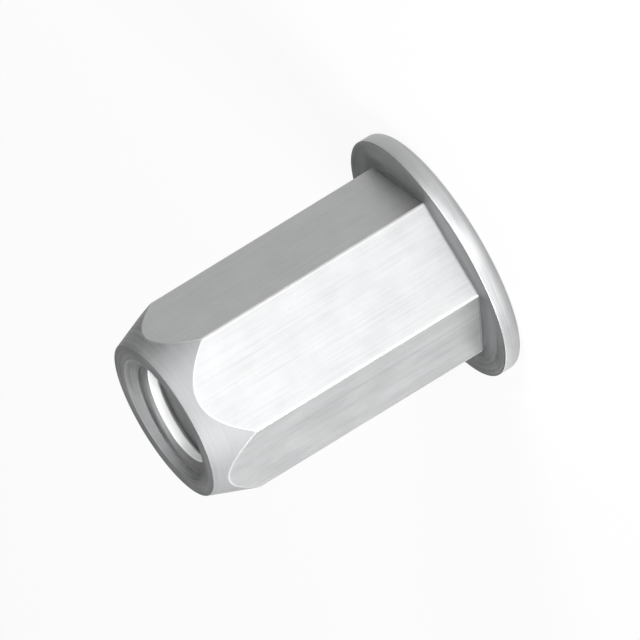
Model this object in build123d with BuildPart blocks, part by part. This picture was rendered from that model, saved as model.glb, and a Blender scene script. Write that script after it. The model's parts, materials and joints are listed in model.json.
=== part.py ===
"""Full-hex rivet nut, M5, open end, flat head.

A threaded steel insert made in one piece. It is pushed into a hexagonal hole from one side of
a sheet. A tool then pulls the threaded end towards the head, and the thin-walled chamber next
to the head folds outwards and clamps the sheet.

The part stands on its head: the origin is the centre of the head's outer face, and +Z points
out of the threaded end. Two corners of the hexagon lie over the X axis. Lengths are in
millimetres and angles in degrees.
"""

import os
from math import cos, radians, tan

from build123d import *

# Head: a thin round flange that bears on the face of the sheet.
head_diameter = 10.2
head_thickness = 0.8
head_edge_radius = 0.3
bore_edge_chamfer = 0.2

# Shank: a hexagonal bar, coned at the far end so that it finds its way into the hole.
across_flats = 7.0
shank_length = 12.05
nose_face_diameter = 6.55
nose_half_angle = 21.2

# Chamber: the smooth bore under the head, whose wall folds when the insert is set.
chamber_diameter = 5.5
chamber_depth = 6.2
drill_point_angle = 120.0

# Thread: coarse M5, held here as a plain bore at its minor diameter, with a countersunk mouth.
thread_diameter = 5.0
thread_pitch = 0.8
countersink_diameter = 5.25
countersink_angle = 90.0

# What follows from the sizes above. An ISO thread is 5/8 of its sharp triangle deep.
total_length = head_thickness + shank_length
hex_corner_radius = across_flats / 2 / cos(radians(30))
thread_depth = 5 / 8 * thread_pitch * cos(radians(30))
minor_radius = thread_diameter / 2 - thread_depth
countersink_depth = (countersink_diameter / 2 - minor_radius) / tan(radians(countersink_angle / 2))
drill_point_depth = (chamber_diameter / 2 - minor_radius) / tan(radians(drill_point_angle / 2))

# The tool that turns the nose sweeps this far beyond the corners of the hexagon.
turning_radius = hex_corner_radius + 0.5
turning_depth = (turning_radius - nose_face_diameter / 2) / tan(radians(nose_half_angle))


with BuildPart() as rivet_nut:
    # Head: a disc with a rounded outer edge.
    with BuildSketch(Plane.XY):
        Circle(head_diameter / 2)
    extrude(amount=head_thickness)
    fillet(rivet_nut.edges().group_by(Axis.Z)[0], radius=head_edge_radius)

    # Shank: the hexagonal bar that the head was upset from.
    with BuildSketch(Plane.XY.offset(head_thickness)):
        RegularPolygon(across_flats / 2, 6, major_radius=False)
    extrude(amount=shank_length)

    # Nose: a cone turned off the corners, which leaves a scallop at the end of each flat.
    with BuildSketch(Plane.XZ):
        with BuildLine():
            Polyline(
                (nose_face_diameter / 2, total_length),
                (turning_radius, total_length),
                (turning_radius, total_length - turning_depth),
                close=True,
            )
        make_face()
    revolve(axis=Axis.Z, mode=Mode.SUBTRACT)

    # Bore: chamber, drill point, threaded length and countersink, on one axis from end to end.
    with BuildSketch(Plane.XZ):
        with BuildLine():
            Polyline(
                (0, 0),
                (chamber_diameter / 2 + bore_edge_chamfer, 0),
                (chamber_diameter / 2, bore_edge_chamfer),
                (chamber_diameter / 2, chamber_depth),
                (minor_radius, chamber_depth + drill_point_depth),
                (minor_radius, total_length - countersink_depth),
                (countersink_diameter / 2, total_length),
                (0, total_length),
                close=True,
            )
        make_face()
    revolve(axis=Axis.Z, mode=Mode.SUBTRACT)

rivet_nut.part.label = "rivet_nut"

os.makedirs("parts", exist_ok=True)
export_step(rivet_nut.part, "parts/rivet_nut.step")
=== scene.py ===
import json
from math import cos, pi, radians, sin, tan

import bmesh
import bpy
from mathutils import Matrix, Vector


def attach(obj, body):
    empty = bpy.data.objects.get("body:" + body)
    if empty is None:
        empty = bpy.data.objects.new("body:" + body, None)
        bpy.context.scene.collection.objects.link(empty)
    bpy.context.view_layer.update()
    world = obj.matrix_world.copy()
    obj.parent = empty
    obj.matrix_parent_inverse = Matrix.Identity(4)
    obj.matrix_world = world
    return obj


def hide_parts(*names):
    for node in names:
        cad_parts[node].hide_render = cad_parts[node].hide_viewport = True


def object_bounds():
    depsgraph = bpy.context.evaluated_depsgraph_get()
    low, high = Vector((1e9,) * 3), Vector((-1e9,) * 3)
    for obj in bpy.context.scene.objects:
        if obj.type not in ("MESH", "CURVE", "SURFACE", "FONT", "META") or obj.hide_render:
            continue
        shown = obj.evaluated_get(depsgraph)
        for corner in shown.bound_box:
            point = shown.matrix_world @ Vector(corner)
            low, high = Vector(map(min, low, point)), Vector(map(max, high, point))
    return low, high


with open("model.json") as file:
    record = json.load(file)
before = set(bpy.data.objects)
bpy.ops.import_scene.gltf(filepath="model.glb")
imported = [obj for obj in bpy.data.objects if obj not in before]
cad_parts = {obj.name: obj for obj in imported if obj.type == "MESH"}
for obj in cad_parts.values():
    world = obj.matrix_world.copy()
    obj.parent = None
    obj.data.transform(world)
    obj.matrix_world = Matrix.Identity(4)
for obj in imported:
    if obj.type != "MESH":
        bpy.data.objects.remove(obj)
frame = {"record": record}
cad_low, cad_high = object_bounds()

# ---------------------------------------------------------------------------------------------
# The camera stands off to one side of the upright nut, a little above its middle, and is rolled
# so that the threaded end points down to the left. It is orthographic, so it only needs a
# direction, a roll and the point that it looks at.
camera_azimuth = radians(2.5)
camera_elevation = radians(15.5)
camera_roll = radians(121.46)
camera_width = 0.02399
camera_distance = 0.2
aim_below_nose = 0.007223
aim_right_of_axis = 0.00016

camera_right = Vector((cos(camera_azimuth), sin(camera_azimuth), 0))
camera_back = Vector((
    sin(camera_azimuth) * cos(camera_elevation),
    -cos(camera_azimuth) * cos(camera_elevation),
    sin(camera_elevation),
))
camera_up = camera_back.cross(camera_right)
roll = Matrix.Rotation(-camera_roll, 3, camera_back)
camera_turn = Matrix((roll @ camera_right, roll @ camera_up, camera_back)).transposed()
camera_aim = camera_right * aim_right_of_axis + Vector((0, 0, cad_high.z - aim_below_nose))

camera = bpy.data.objects.new("camera", bpy.data.cameras.new("camera"))
camera.data.type = "ORTHO"
camera.data.ortho_scale = camera_width
camera.data.clip_start = 0.001
camera.data.clip_end = 10.0
camera.matrix_world = Matrix.LocRotScale(
    camera_aim + camera_back * camera_distance, camera_turn.to_quaternion(), None
)
bpy.context.scene.collection.objects.link(camera)
bpy.context.scene.camera = camera

# ---------------------------------------------------------------------------------------------
# The rivet nut is one piece of steel. A round head is upset on one end of a bar, a die forms six
# flats on the shank, and the other end is coned, drilled, countersunk and tapped. Then it is
# plated with zinc. Its lengths are in millimetres here, and a hair is less than any of them.
MM = 0.001
hair = 0.001
mounts = {mount["name"]: mount for mount in frame["record"]["mounts"]}
total_length = cad_high.z / MM
head_radius = cad_high.x / MM
head_thickness = mounts["head_underside"]["pos_m"][2] / MM
chamber_radius = mounts["chamber"]["dims"]["r_mm"]
chamber_top = mounts["chamber"]["pos_m"][2] / MM + mounts["chamber"]["dims"]["length_mm"] / 2
minor_radius = mounts["thread"]["dims"]["r_mm"]
thread_top = mounts["thread"]["pos_m"][2] / MM + mounts["thread"]["dims"]["length_mm"] / 2
countersink_radius = minor_radius + total_length - thread_top

across_flats = 7.0
corner_rounding = 0.03
nose_face_radius = 3.275
nose_slope = tan(radians(21.2))
drill_slope = tan(radians(60))
bore_edge_chamfer = 0.2
head_edge_radius = 0.3
broken_edge = 0.03
pocket_radius = 0.9 * minor_radius
turning_steps = 240
cone_rings = 10

# The blank is turned about Z as one section, in millimetres, with a pocket drilled from each end.
# The real edges are barely broken, so each corner of the section is rounded by a few hundredths.
bar_radius = across_flats / 2 / cos(radians(30)) - corner_rounding
nose_start = total_length - (bar_radius - nose_face_radius) / nose_slope
pocket_low = chamber_top + (chamber_radius - pocket_radius) / drill_slope
pocket_high = total_length - (countersink_radius - pocket_radius)
cone_points = [
    (
        bar_radius + (nose_face_radius - bar_radius) * ring / cone_rings,
        nose_start + (total_length - nose_start) * ring / cone_rings,
        0,
    )
    for ring in range(cone_rings)
]


def turned(section, steps, rise=0.0, turns=1):
    """A mesh made by turning a section about Z, as a screw of a few turns where it rises.
    The section's points are (radius, height, rounding)."""
    shape = bmesh.new()
    corners = [shape.verts.new((radius, 0, height)) for radius, height, _ in section]
    for lower, upper in zip(corners, corners[1:]):
        shape.edges.new((lower, upper))
    for corner, (_, _, rounding) in zip(corners, section):
        if rounding:
            bmesh.ops.bevel(
                shape, geom=[corner], offset=rounding, offset_type="OFFSET",
                segments=8 if rounding > broken_edge else 3, profile=0.5, affect="VERTICES",
                material=-1,
            )
    bmesh.ops.spin(
        shape, geom=shape.verts[:] + shape.edges[:], axis=(0, 0, 1), cent=(0, 0, 0),
        angle=2 * pi, steps=steps, dvec=(0, 0, rise / steps), use_merge=rise == 0,
    )
    first_turn = shape.verts[:] + shape.edges[:] + shape.faces[:]
    for turn in range(1, turns):
        copy = bmesh.ops.duplicate(shape, geom=first_turn)["geom"]
        copied_verts = [part for part in copy if isinstance(part, bmesh.types.BMVert)]
        bmesh.ops.translate(shape, verts=copied_verts, vec=(0, 0, turn * rise))
    bmesh.ops.remove_doubles(shape, verts=shape.verts[:], dist=hair / 10)
    return shape


blank = turned([
    (0, pocket_low, 0),
    (pocket_radius, pocket_low, 0),
    (chamber_radius, chamber_top, 0),
    (chamber_radius, bore_edge_chamfer, broken_edge),
    (chamber_radius + bore_edge_chamfer, 0, broken_edge),
    (head_radius, 0, head_edge_radius),
    (head_radius, head_thickness, broken_edge),
    (bar_radius, head_thickness, 0),
    *cone_points,
    (nose_face_radius, total_length, broken_edge),
    (countersink_radius, total_length, broken_edge),
    (pocket_radius, pocket_high, 0),
    (0, pocket_high, 0),
], turning_steps)

# The shank is hexagonal, so that the nut can't turn in its hole, and the cone leaves a scallop at
# the end of each flat. Here the flats are cut off the round bar, which gives the same lines and a
# thin rounded corner between each two.
crease_width = 0.022
root_fillet = 0.05
flat_creases = []
for flat_number in range(6):
    flat_turn = radians(30 + 60 * flat_number)
    outward = Vector((cos(flat_turn), sin(flat_turn), 0))
    wall = [
        face for face in blank.faces
        if max(vert.co.z for vert in face.verts) > head_thickness + hair
        and max(vert.co.xy.length for vert in face.verts) > across_flats / 2
    ]
    in_wall = {*wall}
    wall_edges = [edge for edge in blank.edges if in_wall & {*edge.link_faces}]
    wall_verts = [
        vert for vert in blank.verts
        if vert.co.z > head_thickness + hair and in_wall & {*vert.link_faces}
    ]
    cut = bmesh.ops.bisect_plane(
        blank, geom=wall_verts + wall_edges + wall, dist=hair / 100,
        plane_co=outward * across_flats / 2, plane_no=outward, clear_outer=True,
    )["geom_cut"]

    # The head stays whole. So each flat ends on its underside in a straight line, and the sliver
    # of the underside that the bar had covered is filled in.
    outline = [part for part in cut if isinstance(part, bmesh.types.BMEdge)]
    outline_verts = [part for part in cut if isinstance(part, bmesh.types.BMVert)]
    foot_line = blank.edges.new(sorted(outline_verts, key=lambda vert: vert.co.z)[:2])
    arc = [
        edge for edge in blank.edges
        if len(edge.link_faces) == 1 and edge not in outline
        and all(vert.co.dot(outward) > across_flats / 2 - hair / 10 for vert in edge.verts)
    ]
    bmesh.ops.contextual_create(blank, geom=outline + [foot_line])
    bmesh.ops.contextual_create(blank, geom=arc + [foot_line])
    flat_creases += outline
bmesh.ops.recalc_face_normals(blank, faces=blank.faces[:])
bmesh.ops.bevel(
    blank, geom=flat_creases, offset=crease_width, offset_type="OFFSET", segments=2, profile=0.5,
    affect="EDGES", material=-1, clamp_overlap=True,
)
shank_foot = [
    edge for edge in blank.edges
    if all(abs(vert.co.z - head_thickness) < hair / 10 for vert in edge.verts)
    and edge.calc_face_angle() > radians(60)
    and edge.verts[0].co.xy.length < bar_radius + hair
]
bmesh.ops.bevel(
    blank, geom=shank_foot, offset=root_fillet, offset_type="OFFSET", segments=3, profile=0.5,
    affect="EDGES", material=-1, clamp_overlap=True,
)

# The thread is cut by a tap: a screw with a 60 degree form that runs right through the drilled
# pockets, so that its grooves run out into the countersink and into the chamber as real ones do.
# It is turned like the blank, but rises by one pitch in each turn. Its first groove is set by how
# far it lies under the nose face, on the side of the mouth that the camera looks into.
pitch = 0.8
groove_depth = 0.4
groove_half_width = groove_depth * tan(radians(30))
groove_below_face = 0.365
turns_below_face = 9
turns_to_far_side = (radians(90) + camera_azimuth) / (2 * pi)
tap_turns = 12
tap_steps = 240

tap_low = total_length - groove_below_face - pitch * (turns_below_face + 0.5 + turns_to_far_side)
tap_middle = tap_low + pitch * tap_turns / 2
tap = turned(
    [
        (minor_radius, tap_low, 0),
        (minor_radius, tap_low + pitch / 2 - groove_half_width, broken_edge),
        (minor_radius + groove_depth, tap_low + pitch / 2, broken_edge),
        (minor_radius, tap_low + pitch / 2 + groove_half_width, broken_edge),
        (minor_radius, tap_low + pitch, 0),
    ],
    tap_steps, rise=pitch, turns=tap_turns,
)
open_edges = [edge for edge in tap.edges if edge.is_boundary]
low_end = [edge for edge in open_edges if edge.verts[0].co.z < tap_middle]
high_end = [edge for edge in open_edges if edge.verts[0].co.z > tap_middle]
for end_edges, turns_up in ((low_end, 0.5), (high_end, tap_turns + 0.5)):
    end_cap = bmesh.ops.extrude_edge_only(tap, edges=end_edges)["geom"]
    end_verts = [part for part in end_cap if isinstance(part, bmesh.types.BMVert)]
    bmesh.ops.pointmerge(tap, verts=end_verts, merge_co=(0, 0, tap_low + pitch * turns_up))
bmesh.ops.recalc_face_normals(tap, faces=tap.faces[:])


def solid(name, shape):
    """A mesh object of a closed shape, linked to the scene."""
    mesh = bpy.data.meshes.new(name)
    shape.to_mesh(mesh)
    shape.free()
    body = bpy.data.objects.new(name, mesh)
    bpy.context.scene.collection.objects.link(body)
    return body


rivet_nut = solid("threaded_insert", blank)
tap_tool = solid("tap", tap)
tapping = rivet_nut.modifiers.new("tapping", "BOOLEAN")
tapping.operation = "DIFFERENCE"
tapping.solver = "EXACT"
tapping.object = tap_tool
tapped_nut = rivet_nut.evaluated_get(bpy.context.evaluated_depsgraph_get())
tapped = bpy.data.meshes.new_from_object(tapped_nut)
rivet_nut.modifiers.clear()
rivet_nut.data = tapped
bpy.data.objects.remove(tap_tool)

# The cuts leave a few points closer than a fifth of a hair, which are merged. The nut is then
# brought to metres and shaded smooth, apart from its sharp edges.
sharp_angle = radians(40)
finished = bmesh.new()
finished.from_mesh(tapped)
bmesh.ops.remove_doubles(finished, verts=finished.verts[:], dist=hair / 5)
bmesh.ops.dissolve_degenerate(finished, edges=finished.edges[:], dist=hair / 5)
bmesh.ops.scale(finished, verts=finished.verts[:], vec=(MM, MM, MM))
for face in finished.faces:
    face.smooth = True
for edge in finished.edges:
    edge.smooth = edge.calc_face_angle(0) < sharp_angle
finished.to_mesh(tapped)
finished.free()
rivet_nut.modifiers.new("flat_faces", "WEIGHTED_NORMAL").keep_sharp = True


class Wire:
    """An output of a shader node. Arithmetic on it adds Math nodes; node() adds any other."""

    def __init__(self, tree, socket=None):
        self.tree = tree
        self.socket = socket

    def node(self, kind, settings, inputs, output=None):
        added = self.tree.nodes.new(kind)
        for name, setting in settings.items():
            setattr(added, name, setting)
        for name, value in inputs.items():
            named = [socket for socket in added.inputs if socket.enabled and socket.name == name]
            socket = named[0] if named else added.inputs[name]
            if isinstance(value, Wire):
                self.tree.links.new(value.socket, socket)
            else:
                socket.default_value = value
        for socket in added.outputs:
            if socket.enabled and output in (None, socket.name):
                return Wire(self.tree, socket)
        return Wire(self.tree)

    def math(self, operation, first, second=0.0):
        return self.node("ShaderNodeMath", {"operation": operation}, {0: first, 1: second})

    def __add__(self, other):
        return self.math("ADD", self, other)

    def __radd__(self, other):
        return self.math("ADD", other, self)

    def __sub__(self, other):
        return self.math("SUBTRACT", self, other)

    def __rsub__(self, other):
        return self.math("SUBTRACT", other, self)

    def __mul__(self, other):
        return self.math("MULTIPLY", self, other)

    def __rmul__(self, other):
        return self.math("MULTIPLY", other, self)

    def __pow__(self, other):
        return self.math("POWER", self, other)

    def __abs__(self):
        return self.math("ABSOLUTE", self)

    def most(self, other):
        return self.math("MAXIMUM", self, other)

    def rise(self, low, high):
        """0 below the low value, 1 above the high one, and a smooth step between."""
        return self.node(
            "ShaderNodeMapRange", {"interpolation_type": "SMOOTHSTEP"},
            {"Value": self, "From Min": low, "From Max": high},
        )

    def near(self, place, reach):
        """1 at a place and close to it, and 0 further from it than a reach."""
        return 1 - abs(self - place).rise(0.3 * reach, reach)

    def noise(self, x, y, z, detail):
        """Noise over three stretched coordinates, about 0."""
        point = self.node("ShaderNodeCombineXYZ", {}, {"X": x, "Y": y, "Z": z})
        return self.node(
            "ShaderNodeTexNoise", {"noise_dimensions": "3D"},
            {"Vector": point, "Scale": 1.0, "Detail": detail, "Roughness": 0.6},
        ) - 0.5

    def tinted(self, mask, colour):
        """This colour, turned into another where a mask is 1."""
        return self.node(
            "ShaderNodeMix", {"data_type": "RGBA"}, {"Factor": mask, "A": self, "B": colour},
        )


plating = bpy.data.materials.new("zinc_plated_steel")
plating.use_nodes = True
shader = plating.node_tree.nodes["Principled BSDF"]
plate = Wire(plating.node_tree)

place = plate.node("ShaderNodeTexCoord", {}, {}, "Object")
place = plate.node(
    "ShaderNodeVectorMath", {"operation": "SCALE"}, {"Vector": place, "Scale": 1 / MM},
)
normal = plate.node("ShaderNodeTexCoord", {}, {}, "Normal")
x, y, z = (plate.node("ShaderNodeSeparateXYZ", {}, {"Vector": place}, axis) for axis in "XYZ")
normal_x, normal_y, normal_z = (
    plate.node("ShaderNodeSeparateXYZ", {}, {"Vector": normal}, axis) for axis in "XYZ"
)

# Where each tool has worked: the die formed the flats and the head's rim, and the lathe turned
# the cone and faced the nose and the underside of the head. The lathe's faces are a duller zinc,
# and they also carry painted shade: the cone and the faces square to the axis are painted darker.
edge_reach = 0.03
wide_edge_reach = 0.05
fade_start = 0.02
fade_end = 0.06
level_start = 0.9
level_end = 0.98
radius = (x * x + y * y) ** 0.5
towards_flat = abs(x * cos(radians(30)) + y * sin(radians(30)))
for flat_angle in (radians(90), radians(150)):
    towards_flat = towards_flat.most(abs(x * cos(flat_angle) + y * sin(flat_angle)))
at_flat = towards_flat.near(across_flats / 2, edge_reach)
above_head = z.rise(head_thickness + fade_start, head_thickness + fade_end)
on_flat = at_flat * above_head
on_cone = radius.near((total_length - z) * nose_slope + nose_face_radius, edge_reach)
on_rim = radius.near(head_radius, wide_edge_reach)
formed = on_flat.most(on_rim)
faced_and_painted_shade = on_cone.most(normal_z.rise(level_start, level_end))

# The plating keeps the tools' marks: lines drawn along the flats, and rings on the rest. Each
# flat has lines of its own. The zinc adds fine specks and faint clouds.
marks_per_mm = 11
change_along_line = 0.25
change_around_ring = 0.2
specks_per_mm = 22
clouds_per_mm = 0.6
lines_of_x_side = 37
lines_of_y_side = 53
across_flat = (x * normal_y - y * normal_x) * marks_per_mm
which_flat = normal_x * lines_of_x_side + normal_y * lines_of_y_side
drawn_lines = plate.noise(across_flat, z * change_along_line, which_flat, detail=3)
turned_rings = plate.noise(
    radius * marks_per_mm + x * change_around_ring,
    z * marks_per_mm + y * change_around_ring,
    x * change_around_ring,
    detail=3,
)
tool_marks = turned_rings + on_flat * (drawn_lines - turned_rings)
specks = plate.noise(x * specks_per_mm, y * specks_per_mm, z * specks_per_mm, detail=2)
clouds = plate.noise(x * clouds_per_mm, y * clouds_per_mm, z * clouds_per_mm, detail=4)

# Every edge is rubbed bright. The crests of the thread are painted near white, as painted light
# in the bore. The roots of the thread and the foot of the shank are painted darker, as painted
# shade in the grooves and in the corner under the head.
root_reach = 0.1
foot_reach = 0.8
corner_edges = radius.rise(bar_radius - edge_reach, bar_radius) * above_head
scallop_edges = on_cone * at_flat
mouth_edges = on_cone.most(radius.near(countersink_radius, edge_reach))
nose_edges = z.near(total_length, wide_edge_reach) * mouth_edges
rim_edge = on_rim * z.near(head_thickness, wide_edge_reach)
rubbed = corner_edges.most(scallop_edges).most(nose_edges).most(rim_edge)
# The crests of the thread: rougher, and painted near white as painted light in the bore.
crests_and_painted_light = 1 - radius.rise(minor_radius + fade_start, minor_radius + fade_end)
drilled_radius = (z + (countersink_radius - total_length)).most(minor_radius)
in_groove = (radius - drilled_radius).rise(root_reach, 2 * root_reach)
root_radius = minor_radius + groove_depth
at_root = radius.rise(root_radius - 2 * root_reach, root_radius)
inside = 1 - radius.rise(countersink_radius - edge_reach, countersink_radius)
# Painted shade in the roots of the thread.
root_shade = in_groove * at_root * inside
# Painted shade in the corner under the head, along the foot of each flat.
foot_shade = z.near(head_thickness, root_reach) * towards_flat.near(across_flats / 2, foot_reach)

# The colour runs between a dull and a bright zinc, with painted shade on the lathe's faces, and
# is then tinted in those places.
dull_zinc = (0.30, 0.303, 0.308, 1)
bright_zinc = (0.54, 0.543, 0.547, 1)
# The foot grey is painted shade.
foot_shade_grey = (0.21, 0.213, 0.218, 1)
# The root grey is painted shade.
root_shade_grey = (0.12, 0.122, 0.125, 1)
rubbed_zinc = (0.66, 0.663, 0.667, 1)
# The crest colour is painted light.
crest_painted_light = (0.93, 0.933, 0.936, 1)
middle_tone = 0.5
formed_tone = 0.16
faced_shade_tone = 0.24
cloud_tone = 0.6
mark_tone = 0.7
foot_shade_share = 0.55
root_shade_share = 0.8
rubbed_share = 0.35
# Painted shade: the cone and the faces square to the axis are made darker.
tone = middle_tone + formed * formed_tone - faced_and_painted_shade * faced_shade_tone
tone = tone + clouds * cloud_tone + tool_marks * mark_tone
colour = plate.node(
    "ShaderNodeMix", {"data_type": "RGBA"}, {"Factor": tone, "A": dull_zinc, "B": bright_zinc},
)
# Painted shade at the foot of the shank.
colour = colour.tinted(foot_shade * foot_shade_share, foot_shade_grey)
# Painted shade in the roots of the thread.
colour = colour.tinted(root_shade * root_shade_share, root_shade_grey)
colour = colour.tinted(rubbed * rubbed_share, rubbed_zinc)
# Painted light on the crests of the thread.
colour = colour.tinted(crests_and_painted_light, crest_painted_light)

# What the die formed is the smoothest, and the cone and the crests are rougher than the rest.
plain_roughness = 0.60
formed_polish = 0.12
cone_roughness = 0.08
crest_roughness = 0.15
cloud_roughness = 0.16
mark_roughness = 0.25
speck_height = 0.3
relief_height = 8e-6
roughness = plain_roughness - formed * formed_polish + on_cone * cone_roughness
roughness = roughness + crests_and_painted_light * crest_roughness
roughness = roughness + clouds * cloud_roughness + tool_marks * mark_roughness
relief = tool_marks * (1 - rubbed) + specks * speck_height
bump = plate.node(
    "ShaderNodeBump", {}, {"Strength": 1.0, "Distance": relief_height, "Height": relief},
)

plate.tree.links.new(colour.socket, shader.inputs["Base Color"])
plate.tree.links.new(roughness.socket, shader.inputs["Roughness"])
plate.tree.links.new(bump.socket, shader.inputs["Normal"])
shader.inputs["Metallic"].default_value = 1
rivet_nut.data.materials.clear()
rivet_nut.data.materials.append(plating)

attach(rivet_nut, "root")
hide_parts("rivet_nut")

# ---------------------------------------------------------------------------------------------
# The studio: a white table top in a dim room. Two soft boxes stand up to the left and right of
# the camera and light the cone and the thread. A low one in front lights the flat that faces
# forward, two at the left light the next one, and the last hangs above and lights the mouth.
table_size = 3.0
table_gap = 0.00001
table_lift = 0.88
table_white = (0.9, 0.9, 0.9, 1)
white_light = (1, 1, 1, 1)
room_level = 0.03
box_distance = 0.25
nut_middle = Vector((0, 0, total_length * MM / 2))

table_mesh = bpy.data.meshes.new("table_top")
table_shape = bmesh.new()
bmesh.ops.create_grid(
    table_shape, x_segments=1, y_segments=1, size=table_size / 2,
    matrix=Matrix.Translation((0, 0, -table_gap)),
)
table_shape.to_mesh(table_mesh)
table_shape.free()
table = bpy.data.objects.new("table_top", table_mesh)
bpy.context.scene.collection.objects.link(table)

table_paint = bpy.data.materials.new("white_table_top")
table_paint.use_nodes = True
table_paint.node_tree.nodes.clear()
paint = Wire(table_paint.node_tree)
seen = paint.node("ShaderNodeLightPath", {}, {}, "Is Camera Ray")
for ray in ("Is Glossy Ray", "Is Transmission Ray"):
    seen = seen.most(paint.node("ShaderNodeLightPath", {}, {}, ray))
matt = paint.node("ShaderNodeBsdfDiffuse", {}, {"Color": table_white})
white = paint.node("ShaderNodeEmission", {}, {"Color": white_light, "Strength": 1.0})
top = paint.node("ShaderNodeMixShader", {}, {0: seen * table_lift, 1: matt, 2: white})
paint.node("ShaderNodeOutputMaterial", {}, {"Surface": top})
table.data.materials.append(table_paint)

world = bpy.data.worlds.new("room")
world.use_nodes = True
world.node_tree.nodes["Background"].inputs["Color"].default_value = white_light
world.node_tree.nodes["Background"].inputs["Strength"].default_value = room_level
bpy.context.scene.world = world

for name, azimuth, elevation, width, height, radiance in (
    ("soft_box_upper_left", -45, 23, 0.09, 0.045, 37.0),
    ("soft_box_upper_right", 35, 23, 0.09, 0.045, 35.0),
    ("soft_box_low", -5, 4, 0.09, 0.045, 22.0),
    ("soft_box_left", -65, 13, 0.09, 0.045, 16.0),
    ("soft_box_side", -120, 4, 0.09, 0.045, 12.0),
    ("soft_box_above", 180, 75, 0.12, 0.10, 4.6),
):
    turn, tilt = radians(azimuth), radians(elevation)
    outward = Vector((sin(turn) * cos(tilt), -cos(turn) * cos(tilt), sin(tilt)))
    box = bpy.data.lights.new(name, "AREA")
    box.shape = "RECTANGLE"
    box.size = width
    box.size_y = height
    # A box's power follows from its radiance and its area.
    box.energy = radiance * pi * width * height
    soft_box = bpy.data.objects.new(name, box)
    soft_box.matrix_world = Matrix.LocRotScale(
        nut_middle + outward * box_distance, outward.to_track_quat("Z", "Y"), None
    )
    soft_box.visible_camera = False
    bpy.context.scene.collection.objects.link(soft_box)

bpy.context.scene.view_settings.view_transform = "Standard"
